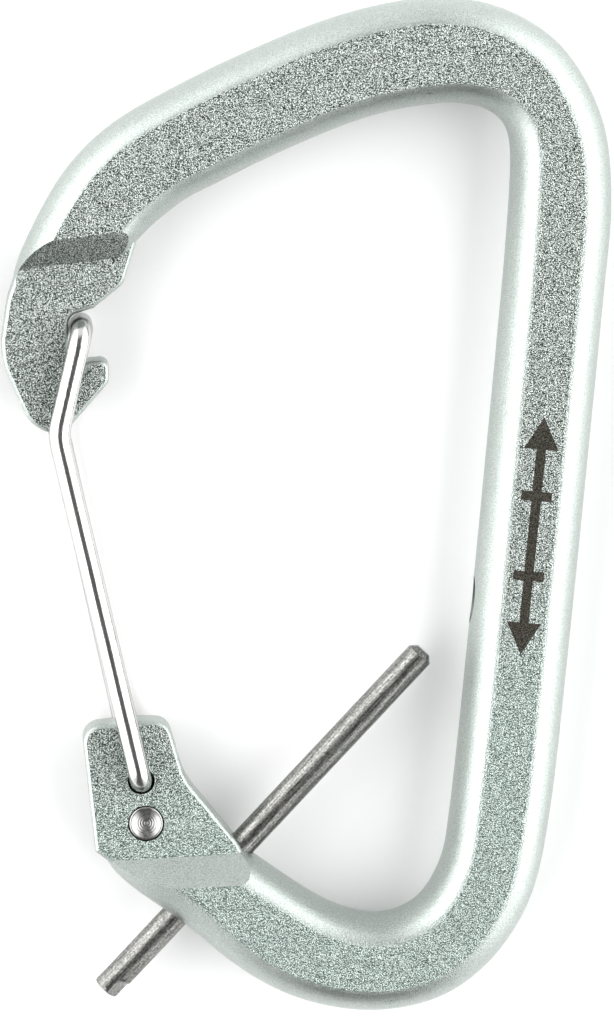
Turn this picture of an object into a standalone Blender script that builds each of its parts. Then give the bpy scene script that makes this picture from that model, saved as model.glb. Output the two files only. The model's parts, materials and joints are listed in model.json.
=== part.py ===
"""Wire-gate climbing carabiner with a captive cross pin, the metal end of a climbing quickdraw.

The carabiner lies flat, units are metres. +Y runs along its length towards the top bend, +X points
from the gate to the spine and +Z is up through the thickness. The origin is the middle of its
length and width, on the face it lies on. Three real pieces are modelled: the forged body, the wire
gate and the captive pin. The gate is two nodes, because one wire turns about two offset pivots.
"""
import math

import bmesh
import bpy
from mathutils import Matrix, Vector

# Thickness of the forging, and of the thin plates at the nose and at the gate hinge
BODY_HALF = 0.0050
PLATE_HALF = 0.0024
RAMP_RUN = 0.0029
RAMP_CUT_OVERLAP = 0.0001
CUTTER_CLEARANCE = 0.0030
CUTTER_LENGTH = 0.0400
PLATE_RIM_ROUND = 0.0004
MID_Z = BODY_HALF

# The bent bar: where its outer edge and inner edge run, and how wide its rounded flank is there.
# It goes from the nose over the top bend, down the spine, round the bottom and up to the hinge tab.
BAR_STATIONS = (
    ((-0.0304, 0.0230), (-0.0207, 0.0236), 0.0023),
    ((-0.0302, 0.0247), (-0.0187, 0.0251), 0.0023),
    ((-0.0288, 0.0290), (-0.0175, 0.0283), 0.0025),
    ((-0.0254, 0.0351), (-0.0158, 0.0300), 0.0025),
    ((-0.0209, 0.0398), (-0.0126, 0.0325), 0.0024),
    ((-0.0162, 0.0427), (-0.0098, 0.0339), 0.0023),
    ((-0.0072, 0.0472), (-0.0028, 0.0373), 0.0023),
    ((0.0034, 0.0514), (0.0062, 0.0409), 0.0023),
    ((0.0128, 0.0532), (0.0135, 0.0423), 0.0023),
    ((0.0201, 0.0522), (0.0176, 0.0420), 0.0025),
    ((0.0264, 0.0482), (0.0200, 0.0406), 0.0028),
    ((0.0306, 0.0408), (0.0210, 0.0382), 0.0031),
    ((0.0316, 0.0324), (0.0210, 0.0335), 0.0031),
    ((0.0309, 0.0229), (0.0203, 0.0238), 0.0031),
    ((0.0268, -0.0202), (0.0163, -0.0191), 0.0031),
    ((0.0252, -0.0338), (0.0148, -0.0330), 0.0030),
    ((0.0235, -0.0412), (0.0140, -0.0372), 0.0029),
    ((0.0196, -0.0476), (0.0120, -0.0408), 0.0028),
    ((0.0143, -0.0517), (0.0097, -0.0424), 0.0028),
    ((0.0071, -0.0532), (0.0069, -0.0429), 0.0028),
    ((-0.0007, -0.0519), (0.0028, -0.0419), 0.0028),
    ((-0.0070, -0.0486), (-0.0013, -0.0395), 0.0027),
    ((-0.0128, -0.0438), (-0.0057, -0.0364), 0.0026),
    ((-0.0194, -0.0390), (-0.0068, -0.0361), 0.0024),
    ((-0.0216, -0.0365), (-0.0073, -0.0348), 0.0024),
    ((-0.0221, -0.0341), (-0.0086, -0.0329), 0.0024),
)
RINGS_PER_SPAN = 3
FLANK_STEPS = 6
FLANK_START_ANGLE = math.radians(12)

# Plate outlines, corner by corner, each with the radius that rounds it
NOSE_CORNERS = (
    ((-0.0270, 0.0292), 0.0),
    ((-0.0303, 0.0243), 0.0),
    ((-0.03175, 0.0195), 0.0080),
    ((-0.03175, 0.0158), 0.0080),
    ((-0.0289, 0.0094), 0.0030),
    ((-0.0270, 0.0083), 0.0012),
    ((-0.0248, 0.0088), 0.0020),
    ((-0.0206, 0.0136), 0.0012),
    ((-0.0206, 0.0159), 0.0009),
    ((-0.0230, 0.0157), 0.0003),
    ((-0.0233, 0.0146), 0.0003),
    ((-0.0250, 0.0146), 0.0008),
    ((-0.0250, 0.0205), 0.0010),
    ((-0.0222, 0.0213), 0.0010),
    ((-0.0191, 0.0238), 0.0020),
    ((-0.0177, 0.0283), 0.0),
    ((-0.0190, 0.0298), 0.0),
)
TAB_CORNERS = (
    ((-0.0222, -0.0358), 0.0),
    ((-0.0236, -0.0226), 0.0018),
    ((-0.0175, -0.0220), 0.0050),
    ((-0.0146, -0.0221), 0.0018),
    ((-0.0128, -0.0282), 0.0060),
    ((-0.0076, -0.0346), 0.0010),
    ((-0.0070, -0.0357), 0.0),
    ((-0.0100, -0.0390), 0.0),
    ((-0.0190, -0.0382), 0.0),
)
ARC_STEP_ANGLE = math.radians(20)

# Top of each ramp between full thickness and plate: a point on its upper edge, and its heading
NOSE_RAMP_POINT = (-0.0219, 0.0292)
NOSE_RAMP_HEADING = (0.12, -1.0)
TAB_RAMP_POINT = (-0.0118, -0.0390)
TAB_RAMP_HEADING = (-0.03, 1.0)

# Wire gate: one bent wire, with its two feet in two offset pivot holes of the tab
WIRE_RADIUS = 0.00115
WIRE_LEG_HEIGHT = 0.00385
FRONT_PIVOT = (-0.0174, -0.0283)
REAR_PIVOT = (-0.0169, -0.0328)
CROSSBAR = (-0.0234, 0.0192)
KNEE = (-0.0259, 0.0084)
FOOT_BEND_RADIUS = 0.0015
KNEE_BEND_RADIUS = 0.0060
TOP_BEND_RADIUS = 0.0016
HEAD_RADIUS = 0.0018
HEAD_THICKNESS = 0.0008
HEAD_STEP = 0.0001
HEAD_PROUD = 0.00005
OPEN_PIVOT_GAP = 0.0023
PIVOT_HOLE_RADIUS = 0.0015
HEAD_SEAT_RADIUS = 0.0022
HEAD_SEAT_FLOOR = 0.0012

# Captive pin, across the lower basket at an angle, half driven in
PIN_RADIUS = 0.00145
PIN_CHAMFER = 0.0006
PIN_STAKE_RADIUS = 0.0016
PIN_STAKE_LENGTH = 0.0008
PIN_STAKE_TAPER = 0.0012
PIN_ANGLE = math.radians(47.0)
BORE_CENTRE = (-0.0102, -0.0391)
BORE_RADIUS = 0.00176
PIN_BACK_END = -0.0161
PIN_TIP = 0.0328
BORE_REACH = 0.0120
SPINE_HOLE = (0.0360, 0.0438)

ROUND_SEGMENTS = 32


def clear_scene():
    """Remove every object that the opened file holds."""
    for scene_object in list(bpy.data.objects):
        bpy.data.objects.remove(scene_object, do_unlink=True)


def metal_material(name, colour, roughness):
    """A plain metal with the given base colour and roughness."""
    material = bpy.data.materials.new(name)
    material.use_nodes = True
    shader = material.node_tree.nodes["Principled BSDF"]
    shader.inputs["Base Color"].default_value = (*colour, 1.0)
    shader.inputs["Metallic"].default_value = 1.0
    shader.inputs["Roughness"].default_value = roughness
    return material


def link_object(name, data, material=None):
    """Put mesh or curve data into the scene as a named object."""
    new_object = bpy.data.objects.new(name, data)
    bpy.context.scene.collection.objects.link(new_object)
    if material:
        data.materials.append(material)
    return new_object


def mesh_from(name, bm):
    """Turn a bmesh into a mesh whose faces all point outwards."""
    bmesh.ops.recalc_face_normals(bm, faces=bm.faces)
    mesh = bpy.data.meshes.new(name)
    bm.to_mesh(mesh)
    bm.free()
    return mesh


def apply_boolean(target, tool, operation):
    """Add a Boolean modifier to the target, and hide the tool that it uses."""
    modifier = target.modifiers.new(tool.name, "BOOLEAN")
    modifier.operation = operation
    modifier.object = tool
    tool.hide_render = True
    tool.display_type = "WIRE"


def spline_point(before, start, end, after, t):
    """A point between start and end on the Catmull-Rom curve through the four points."""
    return 0.5 * (
        2 * start
        + (end - before) * t
        + (2 * before - 5 * start + 4 * end - after) * t ** 2
        + (3 * start - before - 3 * end + after) * t ** 3
    )


def smooth_stations():
    """The bar stations with rings filled in between them along smooth curves."""
    rows = [Vector((*outer, *inner)) for outer, inner, _ in BAR_STATIONS]
    flanks = [flank for _, _, flank in BAR_STATIONS]
    last = len(rows) - 1
    rings = []
    for index in range(last):
        before = rows[max(index - 1, 0)]
        after = rows[min(index + 2, last)]
        for step in range(RINGS_PER_SPAN):
            t = step / RINGS_PER_SPAN
            row = spline_point(before, rows[index], rows[index + 1], after, t)
            rings.append((row, flanks[index] + (flanks[index + 1] - flanks[index]) * t))
    rings.append((rows[last], flanks[last]))
    return rings


def bar_section(width, flank):
    """Points round the bar's section, as distance from the outer edge and height from mid plane."""
    start = FLANK_START_ANGLE
    quarter = []
    for step in range(FLANK_STEPS + 1):
        angle = start + (math.pi / 2 - start) * step / FLANK_STEPS
        reach = (math.sin(angle) - math.sin(start)) / (1 - math.sin(start))
        height = math.cos(angle) / math.cos(start) * BODY_HALF
        quarter.append((flank * (1 - reach), height))
    outer_top = quarter[::-1]
    inner_top = [(width - across, height) for across, height in quarter]
    top = outer_top + inner_top
    bottom = [(across, -height) for across, height in top[-2:0:-1]]
    return top + bottom


def bar_mesh():
    """The bent bar with a flat middle and rounded flanks, as rings joined along its length."""
    bm = bmesh.new()
    loops = []
    for row, flank in smooth_stations():
        outer = Vector((row[0], row[1], MID_Z))
        inner = Vector((row[2], row[3], MID_Z))
        width = (inner - outer).length
        across_way = (inner - outer) / width
        loops.append([
            bm.verts.new(outer + across_way * across + Vector((0, 0, height)))
            for across, height in bar_section(width, flank)
        ])
    for ring, following in zip(loops, loops[1:]):
        for index in range(len(ring)):
            after = (index + 1) % len(ring)
            bm.faces.new((ring[index], ring[after], following[after], following[index]))
    bm.faces.new(loops[0])
    bm.faces.new(loops[-1])
    return mesh_from("bar", bm)


def rounded_outline(corners):
    """Outline points for corners with radii: each corner becomes an arc that touches both sides."""
    points = []
    for index, (corner, radius) in enumerate(corners):
        here = Vector(corner)
        if radius == 0:
            points.append(here)
            continue
        back = (Vector(corners[index - 1][0]) - here).normalized()
        ahead = (Vector(corners[(index + 1) % len(corners)][0]) - here).normalized()
        half_corner = back.angle(ahead) / 2
        centre = here + (back + ahead).normalized() * radius / math.sin(half_corner)
        first = here + back * radius / math.tan(half_corner) - centre
        last = here + ahead * radius / math.tan(half_corner) - centre
        turn = first.angle_signed(last)
        steps = max(2, math.ceil(abs(turn) / ARC_STEP_ANGLE))
        for step in range(steps + 1):
            points.append(centre + Matrix.Rotation(-turn * step / steps, 2) @ first)
    return points


def plate_mesh(name, corners):
    """A flat plate with the given outline, centred on the mid plane."""
    bm = bmesh.new()
    bottom = [bm.verts.new((*point, MID_Z - PLATE_HALF)) for point in rounded_outline(corners)]
    face = bm.faces.new(bottom)
    pushed = bmesh.ops.extrude_face_region(bm, geom=[face])
    top = [item for item in pushed["geom"] if isinstance(item, bmesh.types.BMVert)]
    bmesh.ops.translate(bm, verts=top, vec=(0, 0, 2 * PLATE_HALF))
    return mesh_from(name, bm)


def add_plate(name, corners):
    """A plate object with a softly rounded rim."""
    plate = link_object(name, plate_mesh(name, corners))
    rim = plate.modifiers.new("rim", "BEVEL")
    rim.width = PLATE_RIM_ROUND
    rim.segments = 2
    rim.limit_method = "ANGLE"
    rim.angle_limit = math.radians(60)
    return plate


def add_ramp_cutter(name, point, heading, side):
    """A block that takes one face of the bar down along a ramp to just under the plate's face."""
    depth = PLATE_HALF - RAMP_CUT_OVERLAP
    clear = BODY_HALF + CUTTER_CLEARANCE
    slope = RAMP_RUN / (BODY_HALF - PLATE_HALF)
    foot = (BODY_HALF - depth) * slope
    head = (BODY_HALF - clear) * slope
    profile = ((head, clear), (foot, depth), (CUTTER_LENGTH, depth), (CUTTER_LENGTH, clear))
    forward = Vector((*heading, 0)).normalized()
    sideways = Vector((-forward.y, forward.x, 0))
    middle = Vector((*point, MID_Z))
    bm = bmesh.new()
    rings = []
    for shift in (-CUTTER_LENGTH / 2, CUTTER_LENGTH / 2):
        rings.append([
            bm.verts.new(middle + sideways * shift + forward * run + Vector((0, 0, side * height)))
            for run, height in profile
        ])
    for index in range(4):
        after = (index + 1) % 4
        bm.faces.new((rings[0][index], rings[0][after], rings[1][after], rings[1][index]))
    bm.faces.new(rings[0])
    bm.faces.new(rings[1])
    return link_object(name, mesh_from(name, bm))


def add_drill(name, start, end, radius):
    """A cylinder between two points, to cut a hole with."""
    start = Vector(start)
    end = Vector(end)
    length = (end - start).length
    bm = bmesh.new()
    bmesh.ops.create_cone(
        bm, cap_ends=True, segments=ROUND_SEGMENTS, radius1=radius, radius2=radius, depth=length
    )
    drill = link_object(name, mesh_from(name, bm))
    drill.location = (start + end) / 2
    drill.rotation_euler = (end - start).to_track_quat("Z", "Y").to_euler()
    return drill


def pin_axis_point(distance):
    """The point at a distance along the captive pin's axis from the middle of its bore."""
    return Vector((
        BORE_CENTRE[0] + distance * math.cos(PIN_ANGLE),
        BORE_CENTRE[1] + distance * math.sin(PIN_ANGLE),
        MID_Z,
    ))


def build_body(material):
    """The forged body: bent bar, nose plate, hinge tab, ramps, pin bore and pivot holes."""
    body = link_object("forged_body", bar_mesh(), material)
    for side, label in ((1, "front"), (-1, "back")):
        nose_cutter = add_ramp_cutter(f"nose_ramp_{label}", NOSE_RAMP_POINT, NOSE_RAMP_HEADING, side)
        tab_cutter = add_ramp_cutter(f"tab_ramp_{label}", TAB_RAMP_POINT, TAB_RAMP_HEADING, side)
        apply_boolean(body, nose_cutter, "DIFFERENCE")
        apply_boolean(body, tab_cutter, "DIFFERENCE")
    apply_boolean(body, add_plate("nose_plate", NOSE_CORNERS), "UNION")
    apply_boolean(body, add_plate("tab_plate", TAB_CORNERS), "UNION")
    for label, pivot, head_side in (("front", FRONT_PIVOT, -1), ("rear", REAR_PIVOT, 1)):
        through = add_drill(f"{label}_pivot_hole", (*pivot, 0), (*pivot, 2 * MID_Z), PIVOT_HOLE_RADIUS)
        floor = (*pivot, MID_Z + head_side * HEAD_SEAT_FLOOR)
        above = (*pivot, MID_Z + head_side * BODY_HALF)
        seat = add_drill(f"{label}_head_seat", floor, above, HEAD_SEAT_RADIUS)
        apply_boolean(body, through, "DIFFERENCE")
        apply_boolean(body, seat, "DIFFERENCE")
    for label, start, end in (("pin_bore", -BORE_REACH, BORE_REACH), ("spine_hole", *SPINE_HOLE)):
        drill = add_drill(label, pin_axis_point(start), pin_axis_point(end), BORE_RADIUS)
        apply_boolean(body, drill, "DIFFERENCE")
    return body


def bend(before, corner, after, radius):
    """Points round a bend of the given radius that replaces the corner of a path."""
    back = (before - corner).normalized()
    ahead = (after - corner).normalized()
    half_corner = back.angle(ahead) / 2
    centre = corner + (back + ahead).normalized() * radius / math.sin(half_corner)
    first = corner + back * radius / math.tan(half_corner) - centre
    axis = back.cross(ahead)
    turn = math.pi - 2 * half_corner
    steps = max(2, math.ceil(turn / ARC_STEP_ANGLE))
    return [centre + Matrix.Rotation(-turn * step / steps, 3, axis) @ first for step in range(steps + 1)]


def add_round_bar(name, points, radii, pivot, material):
    """A round bar along the points, with its origin at the pivot and a radius at every point."""
    curve = bpy.data.curves.new(name, "CURVE")
    curve.dimensions = "3D"
    curve.bevel_depth = 1.0
    curve.bevel_resolution = 3
    curve.use_fill_caps = True
    spline = curve.splines.new("POLY")
    spline.points.add(len(points) - 1)
    for spline_spot, point, radius in zip(spline.points, points, radii):
        spline_spot.co = (*(point - pivot), 1.0)
        spline_spot.radius = radius
    bar = link_object(name, curve, material)
    bar.location = pivot
    return bar


def wire_foot(pivot, leg_side):
    """Path and radii of a wire foot: spun head, straight shank through the tab, up to its leg."""
    head_face = MID_Z - leg_side * (PLATE_HALF + HEAD_PROUD)
    head_back = head_face + leg_side * HEAD_THICKNESS
    path = [
        Vector((*pivot, head_face)),
        Vector((*pivot, head_back)),
        Vector((*pivot, head_back + leg_side * HEAD_STEP)),
    ]
    return path, [HEAD_RADIUS, HEAD_RADIUS, WIRE_RADIUS]


def build_front_leg(material):
    """The gate wire's front leg and crossbar, turning about the front pivot."""
    leg_z = MID_Z + WIRE_LEG_HEIGHT
    path, radii = wire_foot(FRONT_PIVOT, 1)
    foot = Vector((*FRONT_PIVOT, leg_z))
    knee = Vector((*KNEE, leg_z))
    top = Vector((*CROSSBAR, leg_z))
    cross_end = Vector((*CROSSBAR, MID_Z - WIRE_LEG_HEIGHT - WIRE_RADIUS))
    bends = bend(path[-1], foot, knee, FOOT_BEND_RADIUS)
    bends += bend(foot, knee, top, KNEE_BEND_RADIUS)
    bends += bend(knee, top, cross_end, TOP_BEND_RADIUS)
    path += bends + [cross_end]
    radii += [WIRE_RADIUS] * (len(bends) + 1)
    return add_round_bar("gate_wire_front", path, radii, Vector((*FRONT_PIVOT, MID_Z)), material)


def build_rear_leg(material):
    """The gate wire's rear leg, turning about the rear pivot and ending just short of the crossbar."""
    leg_z = MID_Z - WIRE_LEG_HEIGHT
    path, radii = wire_foot(REAR_PIVOT, -1)
    foot = Vector((*REAR_PIVOT, leg_z))
    knee = Vector((*KNEE, leg_z))
    top = Vector((*CROSSBAR, leg_z))
    open_end = top + (knee - top).normalized() * OPEN_PIVOT_GAP
    bends = bend(path[-1], foot, knee, FOOT_BEND_RADIUS)
    bends += bend(foot, knee, top, KNEE_BEND_RADIUS)
    path += bends + [open_end]
    radii += [WIRE_RADIUS] * (len(bends) + 1)
    return add_round_bar("gate_wire_rear", path, radii, Vector((*REAR_PIVOT, MID_Z)), material)


def build_pin(material):
    """The captive cross pin: staked at its back end, chamfered at its tip."""
    distances = (
        PIN_BACK_END,
        PIN_BACK_END + PIN_STAKE_LENGTH,
        PIN_BACK_END + PIN_STAKE_LENGTH + PIN_STAKE_TAPER,
        PIN_TIP - PIN_CHAMFER,
        PIN_TIP,
    )
    radii = (PIN_STAKE_RADIUS, PIN_STAKE_RADIUS, PIN_RADIUS, PIN_RADIUS, PIN_RADIUS - PIN_CHAMFER)
    path = [pin_axis_point(distance) for distance in distances]
    return add_round_bar("captive_pin", path, radii, pin_axis_point(0), material)


def build_part():
    """Build the whole carabiner in the empty scene."""
    clear_scene()
    aluminium = metal_material("forged_aluminium", (0.52, 0.54, 0.53), 0.45)
    wire_steel = metal_material("polished_wire_steel", (0.66, 0.66, 0.65), 0.18)
    pin_steel = metal_material("turned_pin_steel", (0.42, 0.42, 0.41), 0.30)
    build_body(aluminium)
    build_front_leg(wire_steel)
    build_rear_leg(wire_steel)
    build_pin(pin_steel)


build_part()
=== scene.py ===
"""The looks of a wire-gate climbing carabiner with a captive cross pin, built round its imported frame.

Units are metres. The carabiner lies flat: +X points from the gate to the spine, +Y along its length
towards the top bend, and +Z up out of its front face.
"""
import json
import math

import bmesh
import bpy
from mathutils import Matrix, Vector


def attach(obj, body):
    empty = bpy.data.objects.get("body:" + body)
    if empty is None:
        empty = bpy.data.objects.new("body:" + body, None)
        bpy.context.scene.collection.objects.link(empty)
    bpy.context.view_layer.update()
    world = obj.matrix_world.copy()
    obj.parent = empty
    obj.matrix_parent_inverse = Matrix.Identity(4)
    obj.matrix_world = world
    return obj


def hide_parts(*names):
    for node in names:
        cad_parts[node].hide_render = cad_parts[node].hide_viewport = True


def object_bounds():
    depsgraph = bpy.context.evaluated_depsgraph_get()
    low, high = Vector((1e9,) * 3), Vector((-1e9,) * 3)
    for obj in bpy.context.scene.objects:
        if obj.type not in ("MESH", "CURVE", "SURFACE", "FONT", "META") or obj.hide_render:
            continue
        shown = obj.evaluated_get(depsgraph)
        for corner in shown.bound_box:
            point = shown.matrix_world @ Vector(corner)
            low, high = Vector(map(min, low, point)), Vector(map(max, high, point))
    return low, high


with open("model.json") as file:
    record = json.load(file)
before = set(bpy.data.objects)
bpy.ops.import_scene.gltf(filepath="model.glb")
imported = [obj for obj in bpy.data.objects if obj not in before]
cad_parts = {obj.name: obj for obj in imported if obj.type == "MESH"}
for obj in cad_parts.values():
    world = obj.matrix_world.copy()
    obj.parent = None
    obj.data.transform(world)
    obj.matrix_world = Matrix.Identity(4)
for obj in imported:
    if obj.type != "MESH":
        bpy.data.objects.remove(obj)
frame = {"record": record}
cad_low, cad_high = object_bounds()
joints = {joint["name"]: joint for joint in frame["record"]["behaviour"]["joints"]}

# Half the thickness of the forging, and of its thin plates at the nose and at the gate hinge, and
# how far the ramps between them run; the mid plane lies half the thickness above the back
BODY_HALF = 0.0050
PLATE_HALF = 0.0024
RAMP_RUN = 0.0029
MID_Z = BODY_HALF

# The bent bar: where its outer edge and inner edge run, and how wide its rounded flank is there.
# Its two ends dive into the nose plate and the tab plate.
BAR_STATIONS = (
    ((-0.0288, 0.0186), (-0.0262, 0.0196), 0.0012),
    ((-0.0294, 0.0196), (-0.0256, 0.0206), 0.0017),
    ((-0.0300, 0.0210), (-0.0250, 0.0220), 0.0021),
    ((-0.0304, 0.0225), (-0.0236, 0.0234), 0.0022),
    ((-0.0306, 0.0238), (-0.0215, 0.0248), 0.0023),
    ((-0.0303, 0.0254), (-0.0195, 0.0264), 0.0024),
    ((-0.0288, 0.0290), (-0.0175, 0.0283), 0.0025),
    ((-0.0254, 0.0351), (-0.0158, 0.0300), 0.0025),
    ((-0.0209, 0.0398), (-0.0126, 0.0325), 0.0024),
    ((-0.0162, 0.0427), (-0.0098, 0.0339), 0.0023),
    ((-0.0072, 0.0472), (-0.0028, 0.0373), 0.0023),
    ((0.0034, 0.0514), (0.0062, 0.0409), 0.0023),
    ((0.0128, 0.0532), (0.0135, 0.0423), 0.0023),
    ((0.0201, 0.0522), (0.0176, 0.0420), 0.0025),
    ((0.0264, 0.0482), (0.0200, 0.0406), 0.0028),
    ((0.0306, 0.0408), (0.0210, 0.0382), 0.0031),
    ((0.0316, 0.0324), (0.0210, 0.0335), 0.0031),
    ((0.0309, 0.0229), (0.0203, 0.0238), 0.0031),
    ((0.0268, -0.0202), (0.0163, -0.0191), 0.0031),
    ((0.0252, -0.0338), (0.0148, -0.0330), 0.0030),
    ((0.0235, -0.0412), (0.0140, -0.0372), 0.0029),
    ((0.0196, -0.0476), (0.0120, -0.0408), 0.0028),
    ((0.0143, -0.0517), (0.0097, -0.0424), 0.0028),
    ((0.0071, -0.0532), (0.0069, -0.0429), 0.0028),
    ((-0.0007, -0.0519), (0.0028, -0.0419), 0.0028),
    ((-0.0070, -0.0486), (-0.0013, -0.0395), 0.0027),
    ((-0.0128, -0.0438), (-0.0057, -0.0364), 0.0030),
    ((-0.0194, -0.0390), (-0.0080, -0.0348), 0.0042),
    ((-0.0214, -0.0365), (-0.0096, -0.0332), 0.0044),
    ((-0.0219, -0.0342), (-0.0109, -0.0318), 0.0040),
    ((-0.0217, -0.0316), (-0.0120, -0.0305), 0.0034),
)

# Spacing of the bar's rings, passes that even out its edges, facets of each flank, and the slope at
# which a flank breaks away from the flat strip
RING_SPACING = 0.0007
SMOOTHING_PASSES = 6
FLANK_STEPS = 20
FLANK_START_ANGLE = math.radians(9)

# Plate outlines, counterclockwise, corner by corner, each with the radius that rounds it
NOSE_CORNERS = (
    ((-0.0260, 0.0292), 0.0),
    ((-0.0285, 0.0288), 0.0),
    ((-0.0301, 0.0252), 0.0060),
    ((-0.0311, 0.0222), 0.0060),
    ((-0.03175, 0.0180), 0.0040),
    ((-0.03165, 0.0156), 0.0080),
    ((-0.0289, 0.0094), 0.0030),
    ((-0.0270, 0.0083), 0.0012),
    ((-0.0248, 0.0088), 0.0020),
    ((-0.0206, 0.0136), 0.0012),
    ((-0.0206, 0.0159), 0.0009),
    ((-0.0230, 0.0157), 0.0007),
    ((-0.0233, 0.0146), 0.0007),
    ((-0.0248, 0.0146), 0.0007),
    ((-0.0248, 0.0205), 0.0011),
    ((-0.0222, 0.0213), 0.0010),
    ((-0.0191, 0.0238), 0.0020),
    ((-0.0177, 0.0283), 0.0),
    ((-0.0190, 0.0298), 0.0),
)
TAB_CORNERS = (
    ((-0.0190, -0.0382), 0.0),
    ((-0.0100, -0.0390), 0.0),
    ((-0.0068, -0.0360), 0.0),
    ((-0.0073, -0.0350), 0.0020),
    ((-0.0128, -0.0282), 0.0060),
    ((-0.0146, -0.0221), 0.0018),
    ((-0.0175, -0.0220), 0.0050),
    ((-0.0236, -0.0226), 0.0018),
    ((-0.0222, -0.0358), 0.0),
)

# Greatest turn between two points of a rounded corner, and the rounding of the plates' rims
ARC_STEP_ANGLE = math.radians(8)
PLATE_RIM_ROUND = 0.00052
RIM_STEPS = 5

# Nose: top edge of the ramp between full thickness and plate, as a point and the ramp's heading
NOSE_RAMP = ((-0.0219, 0.0292), (0.12, -1.0))

# Hinge tab: top edge of its ramp, in the same way
TAB_RAMP = ((-0.0118, -0.0392), (-0.05, 1.0))

# How upright a surface normal must be for blasting to start to show and to show fully, and how
# closely a normal must follow a nose ramp for its face to count as that ramp
BLAST_END = 0.93
BLAST_FULL = 0.99
RAMP_MATCH = 0.9995

# Ramp cutters: height above the bar, length along and across it, and depth under the plate's face
CUTTER_CLEARANCE = 0.0030
CUTTER_LENGTH = 0.0400
CUTTER_OVERLAP = 0.00004

# Wire gate: its two legs turn about two pivots, and one crossbar joins them. Points of its skin that
# are closer than the weld distance are joined.
WIRE_RADIUS = 0.00115
WIRE_LEG_HEIGHT = 0.00385
FRONT_PIVOT = Vector(joints["gate_swing"]["pos_m"])
REAR_PIVOT = Vector(joints["gate_rear_swing"]["pos_m"])
CROSSBAR = (-0.0234, 0.0192)
KNEE = (-0.0259, 0.0084)
FOOT_BEND_RADIUS = 0.0015
KNEE_BEND_RADIUS = 0.0060
TOP_BEND_RADIUS = 0.0018
WIRE_ROUNDNESS = 10
WELD_DISTANCE = 0.000002
PIVOT_HOLE_RADIUS = 0.0014

# How far the crossbar's far bend runs on over the rear leg, and how the leg's end, hidden in it,
# thins out, as pairs of distance from the corner and part of the wire's radius
SEAM_OVERLAP = 0.0030
REAR_END_TAPER = ((0.0015, 0.65), (0.0019, 0.88), (0.0026, 0.985))

# Spun heads at the ends of the legs, and the seats that they lie in
HEAD_RADIUS = 0.0018
HEAD_SEAT_RADIUS = 0.0019
HEAD_DEPTH = 0.0007
HEAD_FLOOR_GAP = 0.00006
HEAD_LIP = 0.00020
HEAD_LIP_STEPS = 6
DISH_RADIUS = 0.00155
DISH_DEPTH = 0.00036
DISH_STEPS = 48
SPIN_RING_PITCH = 0.00026
SPIN_RING_HEIGHT = 0.000012

# How far each shank reaches into its head, as a part of the head's depth
SHANK_REACH = 0.4

# Captive pin: distances along its axis count from the middle of its bore
PIN_RADIUS = 0.00145
PIN_CHAMFER = 0.0006
PIN_DIRECTION = Vector(joints["pin_slide"]["axis"])
BORE_CENTRE = Vector((-0.0102, -0.0391, MID_Z))
BORE_RADIUS = 0.00152
PIN_BACK_END = -0.0161
PIN_TIP = 0.0328
PIN_SHANK_STEPS = 40
BORE_REACH = 0.0120
SPINE_HOLE = (0.0360, 0.0438)

# The pin's back end is staked: broken edges, a slight flare that fades out, and two pressed flats
END_FACE_INSET = 0.00035
END_EDGE_INSET = 0.00008
END_EDGE_LENGTH = 0.00012
END_ROUND_LENGTH = 0.00030
STAKE_LENGTH = 0.0022
STAKE_STEPS = 12
STAKE_FLARE = 0.00004
STAKE_FLAT_HEIGHT = 0.00090
STAKE_RUN_OUT = 0.25
STAKE_LEAN = (0.55, 0.83)

# Facets round every lathed piece and drilled hole, and the turn in degrees from which edges show
ROUND_SEGMENTS = 64
BODY_SHARP_ANGLE = 13
WIRE_SHARP_ANGLE = 35
HEAD_SHARP_ANGLE = 40
PIN_SHARP_ANGLE = 25

# Etched mark on the spine: a plain double-headed arrow with two cross bars, along the spine. Its
# shaft starts a little inside each head, given as a part of the head's length from the tip.
MARK_CENTRE = (0.0232, -0.0024)
MARK_ANGLE = math.radians(-5.5)
MARK_HALF_LENGTH = 0.0125
MARK_HEAD_LENGTH = 0.0034
MARK_HEAD_HALF_WIDTH = 0.0018
MARK_SHAFT_START = 0.9
MARK_SHAFT_HALF_WIDTH = 0.0005
MARK_BAR_PLACE = 0.0042
MARK_BAR_HALF = (0.0016, 0.0005)

# Shifts all noise, so that the faces of the bar and of the plates cut through it alike, and the
# range that most of its values lie in
NOISE_SHIFT = (0.01371, 0.00713, 0.00008)
NOISE_RANGE = (0.3, 0.7)

# Forged aluminium: features per metre of its grain and of its cloudy tint, the part of the fine
# grain in its colours and in its relief, the range of grain heights that the colours spread over,
# and the depth of the relief on the flats and on the flanks
GRAIN_SCALE = 9000
FINE_GRAIN_SCALE = 15000
CLOUD_SCALE = 140
FINE_GRAIN_TINT = 0.5
FINE_GRAIN_RELIEF = 0.4
GRAIN_SPREAD = (0.62, 0.90)
FLAT_GRAIN_DEPTH = 0.00007
FLANK_GRAIN_DEPTH = 0.000045
FORGED_ROUGHNESS = (0.37, 0.43)

# Colours of the smoother flanks: their pits and how they fade out as the grain rises, and the two
# tints that the rest drifts between
FLANK_PIT_COLOUR = (0.33, 0.368, 0.35)
FLANK_PIT_FADE = (0.0, 0.8)
FLANK_TINTS = ((0.47, 0.515, 0.49), (0.54, 0.58, 0.56))

# Colours of the etched mark, as (height of grain, colour), and how much rougher it is
MARK_COLOURS = ((0.35, (0.022, 0.020, 0.016)), (0.7, (0.10, 0.095, 0.08)))
MARK_EXTRA_ROUGHNESS = 0.25

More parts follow.
